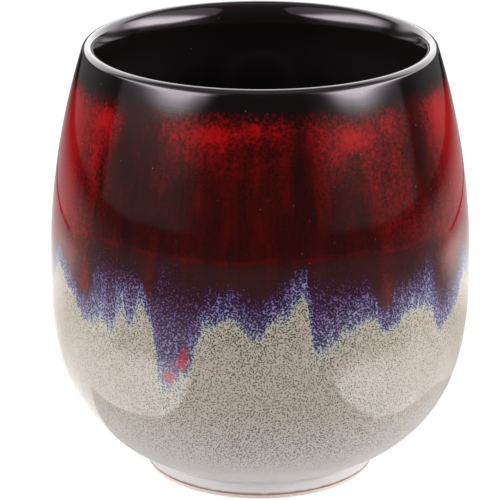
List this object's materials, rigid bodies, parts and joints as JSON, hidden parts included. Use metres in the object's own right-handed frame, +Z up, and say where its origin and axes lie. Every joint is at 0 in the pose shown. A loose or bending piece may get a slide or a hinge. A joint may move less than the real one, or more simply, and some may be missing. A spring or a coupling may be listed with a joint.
{
  "type": "handleless coffee mug",
  "caption": "Rounded handleless stoneware mug on a foot ring, black inside, with a red glaze that drips over a speckled cream glaze; holds a hot drink.",
  "frame": {"origin": "centre of the foot ring on the table", "axes": "+Z up along the mug's axis, -Y towards the front with the longest drip just left of it"},
  "size_m": [0.0864, 0.0864, 0.09],
  "materials": {
    "stoneware_clay": "bare fired stoneware, matt, pinkish buff",
    "black_glaze": "glossy black glaze",
    "cream_glaze": "glossy cream-grey glaze with fine dark specks",
    "red_glaze": "glossy dark red reactive glaze with black streaks and a violet fringe"
  },
  "bodies": {
    "root": {"stoneware_body": "stoneware_clay", "liner_glaze": "black_glaze", "cream_glaze": "cream_glaze", "red_glaze": "red_glaze", "base_glaze": "cream_glaze"}
  },
  "joints": []
}
